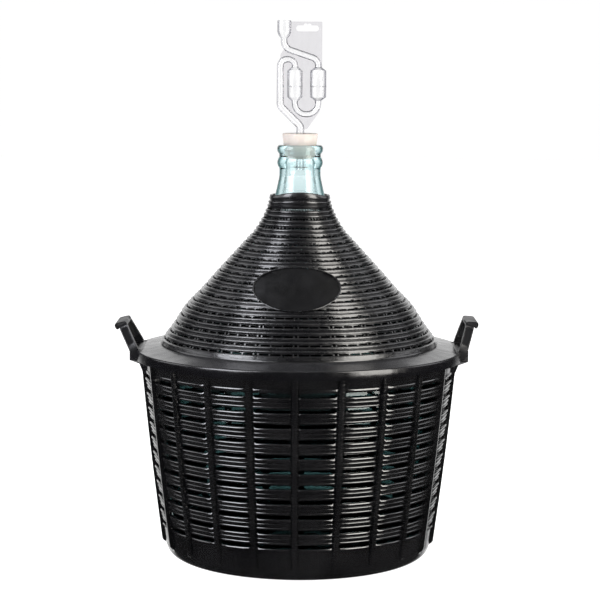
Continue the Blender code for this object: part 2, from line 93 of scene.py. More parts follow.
# Handles
HANDLE_AXIS = (0.1920, 0.2440)              # distance from the centre, height
HANDLE_LEAN = {"left": math.radians(27.0), "right": math.radians(17.0)}
HANDLE_HEIGHT = 41.0 * MM
STRUT_Y = 40.0 * MM                         # centre of each strut at the pin
STRUT_FOOT = 7.0 * MM                       # the struts stay parallel up to here
STRUT_TAPER = 13.0 * MM                     # how far each strut then leans in, evenly
STRUT_CORNER = 6.0 * MM                     # and how much more near the grip, in a curve
STRUT_WIDTH = 10.0 * MM
STRUT_DEPTH = 7.0 * MM
STRUT_HOLLOW = 0.7 * MM                     # sunk into both faces of a strut
STRUT_HOLLOW_ENDS = (13.0 * MM, 8.0 * MM)   # how far it stops from the pin and from the grip's top
PIN_RADIUS = 4.0 * MM


# ------------------------------------------------------------------ mesh helpers
def add_object(name, mesh, material=None, smooth_angle=40.0):
    item = bpy.data.objects.new(name, mesh)
    bpy.context.scene.collection.objects.link(item)
    if material:
        mesh.materials.clear()
        mesh.materials.append(material)
    mesh.shade_smooth()
    mesh.set_sharp_from_angle(angle=math.radians(smooth_angle))
    return item


def finish_mesh(name, bm):
    """Outward normals, then a mesh datablock."""
    bmesh.ops.recalc_face_normals(bm, faces=bm.faces)
    mesh = bpy.data.meshes.new(name)
    bm.to_mesh(mesh)
    bm.free()
    return mesh


def mesh_from(name, points, faces):
    mesh = bpy.data.meshes.new(name)
    mesh.from_pydata(points, [], faces)
    bm = bmesh.new()
    bm.from_mesh(mesh)
    bpy.data.meshes.remove(mesh)
    loose = [vertex for vertex in bm.verts if not vertex.link_faces]
    bmesh.ops.delete(bm, geom=loose, context="VERTS")
    return finish_mesh(name, bm)


def combine(base, tool, operation):
    """Join or cut base with tool for good, and drop the tool."""
    modifier = base.modifiers.new("combine", "BOOLEAN")
    modifier.operation = operation
    modifier.object = tool
    graph = bpy.context.evaluated_depsgraph_get()
    result = bpy.data.meshes.new_from_object(base.evaluated_get(graph))
    base.modifiers.remove(modifier)
    base.data = result
    bpy.data.objects.remove(tool, do_unlink=True)


def soften(item, width, segments=2):
    """Round the edges that a mould would round."""
    bevel = item.modifiers.new("edges", "BEVEL")
    bevel.width = width
    bevel.segments = segments
    bevel.limit_method = "ANGLE"
    bevel.angle_limit = math.radians(32.0)
    bevel.harden_normals = False
    item.data.shade_smooth()
    item.data.set_sharp_from_angle(angle=math.radians(50.0))


def smooth_line(points, steps):
    """A Catmull-Rom curve through (a, b) points."""
    points = [np.array(point, float) for point in points]
    ends = [2 * points[0] - points[1]] + points + [2 * points[-1] - points[-2]]
    line = []
    for k in range(1, len(ends) - 2):
        p0, p1, p2, p3 = ends[k - 1:k + 3]
        for step in range(steps):
            t = step / steps
            line.append(0.5 * (2 * p1 + (p2 - p0) * t + (2 * p0 - 5 * p1 + 4 * p2 - p3) * t ** 2
                               + (3 * p1 - p0 - 3 * p2 + p3) * t ** 3))
    line.append(points[-1])
    return [tuple(point) for point in line]


def arc_points(centre, radius, start, end, steps):
    """Points of an arc in a plane, angles in degrees."""
    angles = [math.radians(start + (end - start) * i / steps) for i in range(steps + 1)]
    return [(centre[0] + radius * math.cos(a), centre[1] + radius * math.sin(a)) for a in angles]


def band_faces(rings, sides, closed=False, start=0):
    """Quads between neighbouring rings of points. A closed band joins its last ring to its first."""
    faces = []
    for ring in range(rings if closed else rings - 1):
        low = start + ring * sides
        high = start + (ring + 1) % rings * sides
        for i in range(sides):
            k = (i + 1) % sides
            faces.append((low + i, low + k, high + k, high + i))
    return faces


def fan(points, tip, start, sides):
    """Triangles from a ring of points to a tip, which is added to the points."""
    centre = len(points)
    points.append(tip)
    return [(start + i, start + (i + 1) % sides, centre) for i in range(sides)]


def turned(name, profile, sides, closed):
    """Turn (radius, z) points about Z. A closed profile is a ring's section; an open one
    starts and ends on the axis."""
    inner = profile if closed else profile[1:-1]
    angles = np.arange(sides) * 2.0 * math.pi / sides
    points = [(r * math.cos(a), r * math.sin(a), z) for r, z in inner for a in angles]
    rows = len(inner)
    faces = band_faces(rows, sides, closed)
    if not closed:
        for end, ring in ((profile[0], 0), (profile[-1], rows - 1)):
            faces += fan(points, (0.0, 0.0, end[1]), ring * sides, sides)
    return mesh_from(name, points, faces)


def slotted_shell(name, angles, outer, inner, inner_rows, holes, floored=False):
    """A closed wall round the Z axis, with holes through it.

    outer and inner give (radius, z) for a row and a column. The outside has a face for every
    cell of the grid; the inside only has the rows in inner_rows, which include both edges of
    every row of holes. holes is a set of (row, column) cells. A floored shell is closed at its
    first row by an underside and a floor."""
    rows = outer.shape[0]
    columns = len(angles)
    cos, sin = np.cos(angles), np.sin(angles)

    def place(grid):
        return np.stack([grid[..., 0] * cos, grid[..., 0] * sin, grid[..., 1]], axis=-1).reshape(-1, 3)

    points = np.concatenate([place(outer), place(inner)]).tolist()
    base = rows * columns
    faces = []
    for j in range(rows - 1):
        for i in range(columns):
            k = (i + 1) % columns
            if (j, i) not in holes:
                faces.append((j * columns + i, j * columns + k,
                              (j + 1) * columns + k, (j + 1) * columns + i))
                continue
            corners = [(j, i), (j, k), (j + 1, k), (j + 1, i)]
            beside = [None, (j, k), None, (j, (i - 1) % columns)]
            for side in range(4):
                if beside[side] in holes:
                    continue
                a, b = corners[side], corners[(side + 1) % 4]
                a, b = a[0] * columns + a[1], b[0] * columns + b[1]
                faces.append((a, b, base + b, base + a))
    for low, high in zip(inner_rows, inner_rows[1:]):
        for i in range(columns):
            if (low, i) in holes:
                continue
            k = (i + 1) % columns
            faces.append((base + low * columns + k, base + low * columns + i,
                          base + high * columns + i, base + high * columns + k))
    for row in ((rows - 1,) if floored else (0, rows - 1)):
        for i in range(columns):
            k = (i + 1) % columns
            start, end = row * columns + i, row * columns + k
            faces.append((start, end, base + end, base + start))
    if floored:
        for start, z in ((0, outer[0, 0, 1]), (base, inner[0, 0, 1])):
            faces += fan(points, (0.0, 0.0, float(z)), start, columns)
    return mesh_from(name, points, faces)


def prism(name, outline, low_y, high_y):
    """A plate: an outline of (x, z) points between two values of y."""
    count = len(outline)
    points = [(x, y, z) for y in (low_y, high_y) for x, z in outline]
    faces = [tuple(range(count)), tuple(range(count, 2 * count))]
    faces += [(i, (i + 1) % count, count + (i + 1) % count, count + i) for i in range(count)]
    return mesh_from(name, points, faces)


def block(name, low, high):
    outline = [(low[0], low[2]), (high[0], low[2]), (high[0], high[2]), (low[0], high[2])]
    return prism(name, outline, low[1], high[1])


# ------------------------------------------------------------------ materials
def new_material(name):
    material = bpy.data.materials.new(name)
    material.use_nodes = True
    tree = material.node_tree
    return material, tree, tree.nodes["Principled BSDF"]


def noise(tree, scale, detail=3.0, stretch=(1.0, 1.0, 1.0)):
    """Noise over the object's own coordinates, in features per metre."""
    coordinates = tree.nodes.new("ShaderNodeTexCoord")
    mapping = tree.nodes.new("ShaderNodeMapping")
    mapping.inputs["Scale"].default_value = stretch
    texture = tree.nodes.new("ShaderNodeTexNoise")
    texture.inputs["Scale"].default_value = scale
    texture.inputs["Detail"].default_value = detail
    tree.links.new(coordinates.outputs["Object"], mapping.inputs["Vector"])
    tree.links.new(mapping.outputs["Vector"], texture.inputs["Vector"])
    return texture.outputs["Fac"]


def ramp(tree, value, low, high, start=0.35, end=0.65):
    node = tree.nodes.new("ShaderNodeValToRGB")
    node.color_ramp.elements[0].position = start
    node.color_ramp.elements[0].color = (*low, 1.0)
    node.color_ramp.elements[1].position = end
    node.color_ramp.elements[1].color = (*high, 1.0)
    tree.links.new(value, node.inputs["Fac"])
    return node.outputs["Color"]


def map_range(tree, value, low, high, start=0.3, end=0.7, smooth=False):
    """Low where the value is at start, high where it is at end."""
    node = tree.nodes.new("ShaderNodeMapRange")
    if smooth:
        node.interpolation_type = "SMOOTHSTEP"
    node.inputs["From Min"].default_value = start
    node.inputs["From Max"].default_value = end
    node.inputs["To Min"].default_value = low
    node.inputs["To Max"].default_value = high
    tree.links.new(value, node.inputs["Value"])
    return node.outputs["Result"]


def smooth_share(tree, value, start, end):
    """0 below start, 1 above end and a smooth step between."""
    return map_range(tree, value, 0.0, 1.0, start, end, smooth=True)


def component(tree, vector, axis):
    """One component of a vector: "X", "Y" or "Z"."""
    split = tree.nodes.new("ShaderNodeSeparateXYZ")
    tree.links.new(vector, split.inputs["Vector"])
    return split.outputs[axis]


def bump(tree, height, strength, distance, below=None):
    node = tree.nodes.new("ShaderNodeBump")
    node.inputs["Strength"].default_value = strength
    node.inputs["Distance"].default_value = distance
    tree.links.new(height, node.inputs["Height"])
    if below:
        tree.links.new(below, node.inputs["Normal"])
    return node.outputs["Normal"]


def mix(tree, share, low, high):
    """A colour between low and high; each is a colour or another node's output."""
    node = tree.nodes.new("ShaderNodeMix")
    node.data_type = "RGBA"
    tree.links.new(share, node.inputs["Factor"])
    for key, value in (("A", low), ("B", high)):
        socket = next(item for item in node.inputs if item.name == key and item.type == "RGBA")
        if isinstance(value, tuple):
            socket.default_value = (*value, 1.0)
        else:
            tree.links.new(value, socket)
    return next(item for item in node.outputs if item.type == "RGBA")


def edge_share(tree, start, end):
    """0 where the surface faces the eye, 1 where it turns away."""
    weight = tree.nodes.new("ShaderNodeLayerWeight")
    weight.inputs["Blend"].default_value = 0.5
    return smooth_share(tree, weight.outputs["Facing"], start, end)


def height_share(tree, start, end):
    """0 below one height of the object, 1 above another."""
    coordinates = tree.nodes.new("ShaderNodeTexCoord")
    return smooth_share(tree, component(tree, coordinates.outputs["Object"], "Z"), start, end)


def absorb(tree, colour, density):
    """Colour the inside by how far the light goes through it."""
    absorption = tree.nodes.new("ShaderNodeVolumeAbsorption")
    absorption.inputs["Color"].default_value = (*colour, 1.0)
    absorption.inputs["Density"].default_value = density
    tree.links.new(absorption.outputs["Volume"], tree.nodes["Material Output"].inputs["Volume"])


def moulded_plastic(name, dark, light, roughness, grain, wave, coat=0.0, specular=1.0,
                    wave_stretch=(1.0, 1.0, 1.0)):
    """Black moulded plastic: cloudy colour, uneven gloss, a fine grain and slow flow waves."""
    material, tree, shader = new_material(name)
    cloud = noise(tree, 22.0, 4.0)
    tree.links.new(ramp(tree, cloud, dark, light), shader.inputs["Base Color"])
    gloss = noise(tree, 70.0, 5.0, wave_stretch)
    tree.links.new(map_range(tree, gloss, roughness[0], roughness[1]), shader.inputs["Roughness"])
    waves = bump(tree, noise(tree, 95.0, 2.0, wave_stretch), wave, 1.0 * MM)
    fine = bump(tree, noise(tree, 900.0, 2.0), grain, 0.25 * MM, waves)
    tree.links.new(fine, shader.inputs["Normal"])
    shader.inputs["IOR"].default_value = 1.49
    shader.inputs["Specular IOR Level"].default_value = specular
    shader.inputs["Coat Weight"].default_value = coat
    shader.inputs["Coat Roughness"].default_value = 0.10
    return material


def paint_top_light(material):
    """Paint the faces that look upwards a paler, streaky colour: painted light, as if the flange's top
    were lit from above.
    """
    tree = material.node_tree
    shader = tree.nodes["Principled BSDF"]
    geometry = tree.nodes.new("ShaderNodeNewGeometry")
    upwards = smooth_share(tree, component(tree, geometry.outputs["True Normal"], "Z"), 0.80, 0.95)
    below = shader.inputs["Base Color"].links[0].from_socket
    streaks = noise(tree, 55.0, 4.0)
    # painted light: a paler colour for the faces lit from above
    painted_top_light = ramp(tree, streaks, (0.020, 0.020, 0.022), (0.034, 0.034, 0.037))
    tree.links.new(mix(tree, upwards, below, painted_top_light), shader.inputs["Base Color"])
    return material


def aqua_glass():
    """Thick pale aqua glass, tinted by the depth of glass the light crosses, with painted shade: its body
    below the neck is painted dark for the shade inside the basket, and it is painted darker where it turns
    away from the eye, for the dark its thick edges refract.
    """
    material, tree, shader = new_material("aqua_glass_painted_shade")
    shader.inputs["Transmission Weight"].default_value = 1.0
    shader.inputs["IOR"].default_value = 1.52
    surface = noise(tree, 38.0, 2.0, (1.0, 1.0, 0.45))
    pale = ramp(tree, surface, (0.96, 0.98, 0.98), (1.0, 1.0, 1.0))
    # painted shade: below the neck the glass is painted dark, for the shade inside the basket
    body = mix(tree, height_share(tree, 0.385, 0.437), (0.12, 0.18, 0.18), pale)
    # painted shade: darker where the glass turns away from the eye, for the dark its thick edges refract
    rim = mix(tree, edge_share(tree, 0.34, 0.62), body, (0.03, 0.07, 0.07))
    tree.links.new(rim, shader.inputs["Base Color"])
    tree.links.new(map_range(tree, surface, 0.0, 0.03), shader.inputs["Roughness"])
    tree.links.new(bump(tree, surface, 0.25, 1.2 * MM), shader.inputs["Normal"])
    absorb(tree, (0.70, 0.87, 0.885), 80.0)
    return material


def clear_plastic(name, tint, edge, roughness, density):
    """Clear moulded polystyrene, slightly grey through its depth, with painted shade at its edges: greyer
    where it turns away from the eye, for the dark its edges refract.
    """
    material, tree, shader = new_material(name)
    shader.inputs["Transmission Weight"].default_value = 1.0
    shader.inputs["IOR"].default_value = 1.45
    flow = noise(tree, 160.0, 2.0, (1.0, 1.0, 0.4))
    tint_high = tuple(min(1.0, channel + 0.03) for channel in tint)
    clear = ramp(tree, flow, tint, tint_high)
    # painted shade: greyer where the plastic turns away from the eye, for the dark its edges refract
    tree.links.new(mix(tree, edge_share(tree, 0.22, 0.62), clear, edge), shader.inputs["Base Color"])
    tree.links.new(map_range(tree, flow, roughness, roughness + 0.06), shader.inputs["Roughness"])
    tree.links.new(bump(tree, flow, 0.05, 0.4 * MM), shader.inputs["Normal"])
    absorb(tree, (0.42, 0.42, 0.46), density)
    return material


def bung_rubber():
    material, tree, shader = new_material("bung_rubber_cream")
    cloud = noise(tree, 120.0, 4.0)
    tree.links.new(ramp(tree, cloud, (0.55, 0.49, 0.45), (0.63, 0.575, 0.53)), shader.inputs["Base Color"])
    tree.links.new(map_range(tree, cloud, 0.50, 0.62), shader.inputs["Roughness"])
    tree.links.new(bump(tree, noise(tree, 1400.0, 3.0), 0.18, 0.2 * MM), shader.inputs["Normal"])
    shader.inputs["Subsurface Weight"].default_value = 0.12
    shader.inputs["Subsurface Radius"].default_value = (0.004, 0.002, 0.0012)
    shader.inputs["Subsurface Scale"].default_value = 0.4
    return material


MATERIALS = {
    "glass": aqua_glass(),
    "tub": moulded_plastic("tub_black", (0.002, 0.002, 0.0025), (0.006, 0.006, 0.0065), (0.14, 0.26),
                           0.01, 0.25, 1.0, 1.0, (1.0, 1.0, 4.0)),
    "boss": moulded_plastic("boss_black", (0.004, 0.004, 0.005), (0.009, 0.009, 0.010), (0.24, 0.36),
                            0.06, 0.15),
    "cone": moulded_plastic("cone_black", (0.002, 0.002, 0.003), (0.007, 0.007, 0.008), (0.20, 0.38),
                            0.04, 0.50, 0.5, 1.0, (1.0, 1.0, 3.0)),
    # the flange's upward faces get painted light: paler, as if lit from above
    "flange": paint_top_light(moulded_plastic("flange_black", (0.002, 0.002, 0.0025), (0.004, 0.004, 0.005),
                                        (0.16, 0.26), 0.04, 0.20)),
    "medallion": moulded_plastic("medallion_black", (0.001, 0.001, 0.0012), (0.007, 0.007, 0.008),
                                 (0.30, 0.46), 0.10, 0.45, 0.0, 0.35),
    "handle": moulded_plastic("handle_black", (0.004, 0.004, 0.005), (0.010, 0.010, 0.011), (0.34, 0.48),
                              0.06, 0.20, 0.0, 0.6),
    "rubber": bung_rubber(),
    # the second colour of each clear plastic is painted shade at its edges
    "clear": clear_plastic("airlock_clear", (0.97, 0.97, 0.975), (0.22, 0.22, 0.25), 0.0, 30.0),
    "web": clear_plastic("airlock_web_clear", (0.82, 0.81, 0.83), (0.60, 0.60, 0.63), 0.10, 30.0),
}


# ------------------------------------------------------------------ carboy
def build_carboy():
    """A blown jar with a pushed-up base, a moulded neck ring and a bead round the lip."""
    low = GLASS_LOW.z
    top = GLASS_HIGH.z
    bore_top = BUNG_LOW.z
    base = [(0.0, low + 0.0062), (0.0600, low + 0.0055), (0.1000, low + 0.0017), (0.1120, low)]
    base += arc_points((0.1230, low + 0.0225), 0.0225, -90.0, -5.0, 12)
    body = [(0.1475, 0.0280), (0.1530, 0.0420), (0.1605, 0.0900), (0.1675, 0.1450), (0.1705, 0.1940),
            (0.1660, 0.2300), (0.1550, 0.2620), (0.1355, 0.2900), (0.1120, 0.3140), (0.0870, 0.3385),
            (0.0640, 0.3630), (0.0465, 0.3860), (0.0345, 0.4120), (0.0291, 0.4326), (0.0252, 0.4499),
            (0.0246, 0.4548)]
    neck = [(0.0246, 0.4612), (0.0251, 0.4630), (0.0262, 0.4645), (0.0270, 0.4668), (0.0272, 0.4690),
            (0.0268, 0.4716), (0.0258, 0.4739), (0.0249, 0.4752), (0.0247, 0.4771), (0.0249, 0.4791),
            (0.0260, 0.4804), (0.0270, 0.4822), (0.0274, 0.4846), (0.0271, 0.4869), (0.0262, 0.4886)]
    rim = [(0.0250, top), (0.0206, top), (0.0199, top - 0.0005), (0.0197, top - 0.0015)]
    wall = 3.4 * MM
    bore = [(0.0182, bore_top + 0.0030), (0.0179, bore_top), (0.0180, 0.4540), (0.0215, 0.4326)]
    lining = [(radius - wall, z - wall * 0.6) for radius, z in reversed(body[1:13])]
    foot = arc_points((0.1240, 0.0330), 0.0210, -5.0, -90.0, 10)
    foot += [(0.1000, 0.0122), (0.0600, 0.0150), (0.0, 0.0155)]
    profile = base + smooth_line(body, 4) + neck + rim + smooth_line(bore + lining, 4) + foot
    glass = add_object("carboy_glass", turned("carboy_glass", profile, 160, closed=False),
                       MATERIALS["glass"], 50.0)
    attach(glass, "carboy")
    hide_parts("glass_carboy")


# ------------------------------------------------------------------ tub
def wall_radius(z):
    share = (z - TUB_WALL_LOW[1]) / (TUB_RIM_Z - TUB_WALL_LOW[1])
    bulge = TUB_WALL_BULGE * math.sin(math.pi * min(max(share, 0.0), 1.0))
    return TUB_WALL_LOW[0] + TUB_WALL_SLOPE * (z - TUB_WALL_LOW[1]) + bulge


# Section of the strands between two rows of slots: depth below the lip and how far they
# stand out, both in millimetres. Two rounded strands, then a narrow edge above the next slot.
STRANDS = [(0.0, 0.5), (0.2, 1.0), (0.7, 1.45), (1.5, 1.8), (2.3, 1.8), (3.4, 1.2), (4.4, 0.6),
           (5.2, 0.1), (5.5, 0.7), (5.8, 0.95), (6.2, 1.05), (7.8, 0.95), (9.2, 0.5), (10.3, 0.0),
           (10.7, 0.45), (11.0, 0.62), (11.4, 0.68), (12.0, 0.6)]

# The same below the lowest slots, by depth under their edge, and above the highest slots.
SILL = [(2.4, 0.0), (2.0, 0.9), (1.2, 1.3), (0.5, 1.0)]
HEAD = [(0.5, 0.9), (2.0, 1.2), (3.6, 0.9), (4.4, 0.1), (5.2, 0.3)]

# Columns of one sector, as arc lengths in millimetres from the rib's centre at the slots'
# middle radius, with the rib's height share, the strands' share and the chamfer's share.
RIB_COLUMNS = [(-3.3, 0.0, 0.0, 1.0), (-2.7, 0.9, 0.0, 1.0), (-2.1, 1.0, 0.0, 1.0), (0.0, 1.0, 0.0, 1.0),
               (2.1, 1.0, 0.0, 1.0), (2.7, 0.9, 0.0, 1.0), (3.3, 0.0, 0.0, 1.0)]
SLOT_END = 4.2
SLOT_FULL = 6.4
SECTOR_RADIUS = 0.170


def tub_columns():
    """Angle, rib share, strand share, chamfer share and whether a slot starts at each column."""
    columns = []
    pitch = SECTOR * SECTOR_RADIUS / MM
    for sector in range(SECTORS):
        middle = FRONT + RIB_PHASE + sector * SECTOR
        section = [(u, rib, strand, chamfer, False) for u, rib, strand, chamfer in RIB_COLUMNS]
        section.append((SLOT_END, 0.0, 0.55, 1.0, True))
        section.append((SLOT_FULL, 0.0, 1.0, 0.0, True))
        inner_steps = 4
        for step in range(1, inner_steps):
            u = SLOT_FULL + (pitch - 2.0 * SLOT_FULL) * step / inner_steps
            section.append((u, 0.0, 1.0, 0.0, True))
        section.append((pitch - SLOT_FULL, 0.0, 1.0, 0.0, True))
        section.append((pitch - SLOT_END, 0.0, 0.55, 1.0, False))
        for u, rib, strand, chamfer, slot in section:
            columns.append((middle + u * MM / SECTOR_RADIUS, rib, strand, chamfer, slot))
    return columns


def tub_rows():
    """(z, radius offset, strand offset, rib share, chamfer direction, starts a row of slots)."""
    rows = [(0.0, None, 0.0, 0.0, 0, False)]
    foot = arc_points((TUB_FOOT_RADIUS, 0.0125), 0.0125, -80.0, -8.0, 6)
    rows += [(z, radius, 0.0, 0.0, 0, False) for radius, z in foot]
    rows += [(RIB_FOOT_Z, 0.0, 0.0, 0.0, 0, False), (RIB_FOOT_Z + 0.0012, 0.0, 0.0, 0.55, 0, False),
             (RIB_FOOT_Z + 0.0035, 0.0, 0.0, 1.0, 0, False), (0.0280, 0.0, 0.0, 1.0, 0, False)]
    rows += [(LIP_FIRST_Z - depth * MM, 0.0, proud, 1.0, 0, False) for depth, proud in SILL]
    rows.append((LIP_FIRST_Z, 0.0, 0.3, 1.0, 1, True))
    for unit in range(1, SLOT_ROWS):
        lip = LIP_FIRST_Z + unit * LIP_PITCH
        top_of_slot = lip - LIP_PITCH + SLOT_HEIGHT
        rows.append((top_of_slot, 0.0, 0.45, 1.0, -1, False))
        for depth, proud in reversed(STRANDS[1:]):
            rows.append((lip - depth * MM, 0.0, proud, 1.0, 0, False))
        rows.append((lip, 0.0, STRANDS[0][1], 1.0, 1, True))
    last = LIP_FIRST_Z + (SLOT_ROWS - 1) * LIP_PITCH + SLOT_HEIGHT
    rows.append((last, 0.0, 0.45, 1.0, -1, False))
    rows += [(last + height * MM, 0.0, proud, 1.0, 0, False) for height, proud in HEAD]
    rows += [(TUB_RIM_Z - 0.6 * MM, 0.0, 0.3, 1.0, 0, False), (TUB_RIM_Z, -0.6 * MM, 0.0, 0.8, 0, False)]
    return rows


def build_tub():
    columns = tub_columns()
    rows = tub_rows()
    angles = np.array([column[0] for column in columns])
    outer = np.zeros((len(rows), len(columns), 2))
    inner = np.zeros_like(outer)
    floor_z = 4.0 * MM
    holes = set()
    inner_rows = [0]
    for j, (z, offset, strand, rib, chamfer, starts_slots) in enumerate(rows):
        in_foot = z < RIB_FOOT_Z
        if starts_slots:
            inner_rows += [j, j + 1]
        for i, (angle, rib_share, strand_share, chamfer_share, starts_slot) in enumerate(columns):
            height = z + chamfer * chamfer_share * SLOT_CHAMFER
            if in_foot:
                radius = TUB_FOOT_RADIUS if offset is None else offset
            else:
                radius = wall_radius(z) + offset + strand * strand_share * MM
                radius += RIB_HEIGHT * rib * rib_share
            outer[j, i] = (radius, height)
            inner[j, i] = (wall_radius(z) - TUB_WALL, height)
            if starts_slots and starts_slot:
                holes.add((j, i))
    inner[0, :] = (wall_radius(floor_z) - 0.012, floor_z)
    inner_rows.append(len(rows) - 1)
    mesh = slotted_shell("tub_shell", angles, outer, inner, inner_rows, holes, floored=True)
    tub = add_object("tub_shell", mesh, MATERIALS["tub"], 38.0)
    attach(tub, "basket")
    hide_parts("basket_tub")


def build_boss(side_name):
    """The block outside the rim that a handle turns in, with its groove and pockets."""
    side = -1 if side_name == "left" else 1
    inner_x = NOTCH_INNER_X + 0.6 * MM
    outer_x = abs(TUB_LOW.x if side < 0 else TUB_HIGH.x)
    half_width = NOTCH_HALF_WIDTH - 0.6 * MM
    front_half_width = 33.0 * MM
    top_z = TUB_HIGH.z
    low_z, knee_z, shoulder_z = 0.2196, 0.2314, 0.2356
    knee_x = 0.1889
    steps = 24

    def arc(half, radius):
        limit = math.asin(half / radius)
        return [(radius * math.cos(limit - 2.0 * limit * i / steps),
                 radius * math.sin(limit - 2.0 * limit * i / steps)) for i in range(steps + 1)]

    def straight(half, x):
        return [(x, half - 2.0 * half * i / steps) for i in range(steps + 1)]

    def outer(x):
        return [(x, -front_half_width), (x, front_half_width)]

    root = wall_radius(TUB_RIM_Z) - TUB_WALL / 2.0
    low_root = wall_radius(low_z) - TUB_WALL / 2.0
    knee_root = wall_radius(knee_z) - TUB_WALL / 2.0
    step_z = TUB_RIM_Z - 0.8 * MM
    levels = [(low_z, outer(wall_radius(low_z) + 0.2 * MM) + arc(0.0350, low_root)),
              (knee_z, outer(knee_x) + arc(0.0440, knee_root)),
              (shoulder_z, outer(outer_x) + arc(half_width, root - 1.0 * MM)),
              (step_z, outer(outer_x) + arc(half_width, root)),
              (step_z + 0.4 * MM, outer(outer_x) + straight(half_width, inner_x)),
              (top_z, outer(outer_x) + straight(half_width, inner_x))]
    bm = bmesh.new()
    rings = [[bm.verts.new((side * x, y, z)) for x, y in outline] for z, outline in levels]
    count = len(rings[0])
    for lower, upper in zip(rings, rings[1:]):
        for i in range(count):
            k = (i + 1) % count
            bm.faces.new((lower[i], lower[k], upper[k], upper[i]))
    bm.faces.new(rings[0])
    bm.faces.new(rings[-1])
    bmesh.ops.triangulate(bm, faces=bm.faces)
    name = "tub_boss_" + side_name
    boss = add_object(name, finish_mesh(name, bm), MATERIALS["boss"])
    axis_x, axis_z = HANDLE_AXIS
    near = STRUT_Y - STRUT_DEPTH / 2.0 - 0.8 * MM
    far = STRUT_Y + STRUT_DEPTH / 2.0 + 0.8 * MM
    groove_radius = PIN_RADIUS + 0.3 * MM
    groove = arc_points((side * axis_x, axis_z), groove_radius, 0.0, 345.0, 23)
    groove = prism("groove", groove, 1.0 * MM - far, far - 1.0 * MM)
    combine(boss, add_object("groove", groove), "DIFFERENCE")
    mouth = sorted((side * (axis_x - 2.8 * MM), side * (axis_x + 2.8 * MM)))
    slot = block("slot", (mouth[0], -near - MM, axis_z), (mouth[1], near + MM, top_z + 2.0 * MM))
    combine(boss, add_object("slot", slot), "DIFFERENCE")
    reach = sorted((side * (axis_x - 5.5 * MM), side * (outer_x + 2.0 * MM)))
    for end in (-1, 1):
        span = sorted((end * near, end * far))
        pocket = block("pocket", (reach[0], span[0], axis_z - 6.2 * MM),
                       (reach[1], span[1], top_z + 2.0 * MM))
        combine(boss, add_object("pocket", pocket), "DIFFERENCE")
        boss_keeper(boss, side, end * (near - 2.4 * MM))
    soften(boss, 0.45 * MM)
    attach(boss, "basket")
    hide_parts("basket_tub")


def boss_keeper(boss, side, y):
    """A small arch that holds the handle's pin down in its groove."""
    axis_x, axis_z = HANDLE_AXIS
    outer = arc_points((side * axis_x, axis_z), 6.1 * MM, 0.0, 180.0, 16)
    inner = arc_points((side * axis_x, axis_z), PIN_RADIUS + 0.35 * MM, 180.0, 0.0, 16)
    foot_z = axis_z + 2.0 * MM
    outer = [(x, max(z, foot_z)) for x, z in outer]
    inner = [(x, max(z, foot_z)) for x, z in inner]
    keeper = prism("keeper", outer + inner, y - 1.5 * MM, y + 1.5 * MM)
    combine(boss, add_object("keeper", keeper), "UNION")


# ------------------------------------------------------------------ cover
def cone_outline():
    """(radius, z) of the CAD cone from its mouth down to its foot, read from the frame."""
    highest = {}
    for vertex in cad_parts["basket_cover"].data.vertices:
        x, y, z = vertex.co
        if y < 0.01 or z < CONE_FOOT_Z + 0.5 * MM:
            continue
        level = round(z, 5)
        highest[level] = max(highest.get(level, 0.0), math.hypot(x, y))
    levels = sorted(highest, reverse=True)
    outline = []
    for level in levels:
        if not outline or (highest[level] > outline[-1][0] + MM and outline[-1][1] - level > 3.0 * MM):
            outline.append((highest[level], level))
    return outline


class Meridian:
    """A line down the cone by arc length, with its outward normals."""

    def __init__(self, outline):
        self.points = np.array(smooth_line(outline, 8))
        steps = np.hypot(*np.diff(self.points, axis=0).T)
        self.lengths = np.concatenate([[0.0], np.cumsum(steps)])
        self.total = self.lengths[-1]

    def at(self, length):
        return np.array([np.interp(length, self.lengths, self.points[:, axis]) for axis in (0, 1)])

    def normal(self, length):
        ahead = self.at(min(length + MM, self.total))
        behind = self.at(max(length - MM, 0.0))
        run = (ahead - behind) / np.linalg.norm(ahead - behind)
        return np.array([-run[1], run[0]])

    def radius(self, z):
        order = np.argsort(self.points[:, 1])
        return float(np.interp(z, self.points[order, 1], self.points[order, 0]))


CONE = Meridian(cone_outline())

# Section between two rows of slots: distance below the slots and depth under the crest, in
# millimetres. Two rounded ridges with a groove between them.
RIDGES = [(0.0, 1.7), (0.4, 0.9), (1.1, 0.2), (2.0, 0.0), (2.9, 0.25), (3.8, 1.0), (4.6, 2.0),
          (5.3, 1.0), (6.1, 0.2), (7.0, 0.0), (7.9, 0.3), (8.8, 1.1)]
RIDGE_BASE = 1.6                            # depth of the plain wall under the crests

# Distances of two grooves of the collar above the first row of slots, and a groove's section.
COLLAR_GROOVES = (8.8, 4.2)
COLLAR_GROOVE = [(-1.7, 0.0), (-0.7, 0.9), (0.0, 1.9), (0.7, 0.9), (1.7, 0.0)]

# The cone's foot below its last ridges, down to the flange: radius and height.
CONE_FOOT = [(0.1640, CONE_FOOT_Z), (0.1648, 0.2560), (0.1655, 0.2530), (0.1650, 0.2500)]

# One sector of the cone: shares of its width, with "slot", "dot" or "web" up to the next one.
CONE_SECTOR = [(0.000, "dot"), (0.040, "web"), (0.075, "slot"), (0.160, "slot"), (0.245, "slot"),
               (0.335, "web"), (0.365, "slot"), (0.455, "slot"), (0.545, "slot"), (0.635, "web"),
               (0.665, "slot"), (0.755, "slot"), (0.840, "slot"), (0.925, "web"), (0.960, "dot")]


